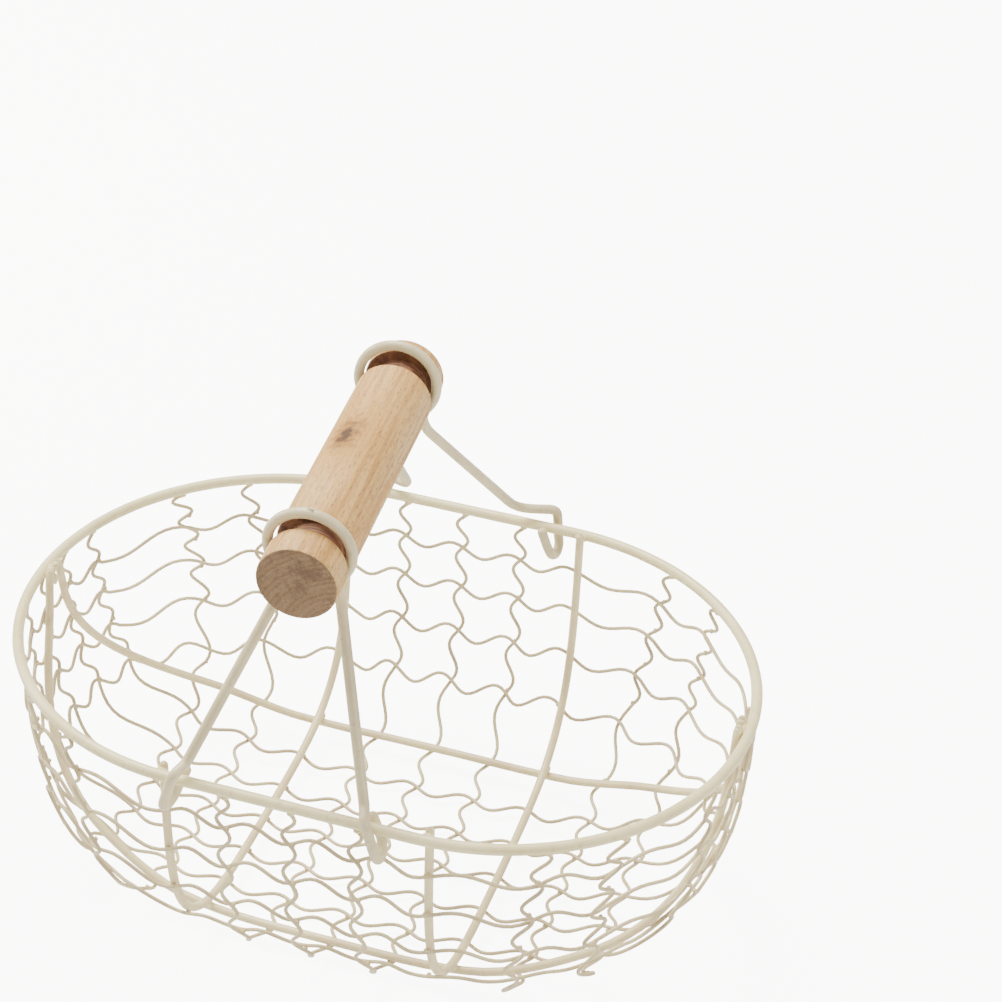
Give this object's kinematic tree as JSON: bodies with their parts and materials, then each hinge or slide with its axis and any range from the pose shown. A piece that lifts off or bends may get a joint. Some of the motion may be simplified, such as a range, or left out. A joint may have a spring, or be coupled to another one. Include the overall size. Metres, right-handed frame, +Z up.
{
  "type": "wire produce basket",
  "caption": "Oval open-top basket of cream painted wire mesh on a ribbed frame, carried by a turned wooden grip between two looped wire bails.",
  "frame": {"origin": "on the table under the middle of the oval rim; the grip reaches about as far on each side", "axes": "+X along the basket, +Y across it towards the far bail, +Z up"},
  "size_m": [0.2436, 0.1748, 0.1791],
  "materials": {
    "frame_paint": "cream powder coat, soft gloss",
    "net_paint": "cream powder coat, soft gloss",
    "handle_paint": "cream powder coat, soft gloss",
    "turned_wood": "plain pale beech, sanded and unvarnished"
  },
  "bodies": {
    "basket": {"rim_hoop": "frame_paint", "cross_rib_left": "frame_paint", "cross_rib_right": "frame_paint", "length_rib_front": "frame_paint", "length_rib_back": "frame_paint", "net_hoop_1": "net_paint", "net_hoop_2": "net_paint", "net_hoop_3": "net_paint", "net_hoop_4": "net_paint", "net_cross_wire_1": "net_paint", "net_cross_wire_2": "net_paint", "net_cross_wire_3": "net_paint", "net_cross_wire_4": "net_paint", "net_cross_wire_5": "net_paint", "net_cross_wire_6": "net_paint", "net_cross_wire_7": "net_paint", "net_long_wire_1": "net_paint", "net_long_wire_2": "net_paint", "net_long_wire_3": "net_paint", "net_long_wire_4": "net_paint", "net_long_wire_5": "net_paint"},
    "front_bail": {"front_bail": "handle_paint"},
    "back_bail": {"back_bail": "handle_paint"},
    "grip": {"wooden_grip": "turned_wood"}
  },
  "joints": [
    {"name": "front_bail_slide", "type": "slide", "parent": "basket", "child": "front_bail", "axis": [1, 0, 0], "range_m": [0, 0.005]},
    {"name": "back_bail_slide", "type": "slide", "parent": "basket", "child": "back_bail", "axis": [1, 0, 0], "range_m": [0, 0.005]},
    {"name": "grip_roll", "type": "hinge", "parent": "front_bail", "child": "grip", "pos_m": [-0.008, -0.0052, 0.1606], "axis": [-0.0663, 0.9977, 0.014], "continuous": true}
  ],
  "couplings": [
    {"joint": "back_bail_slide", "follows": "front_bail_slide", "ratio": 1}
  ]
}
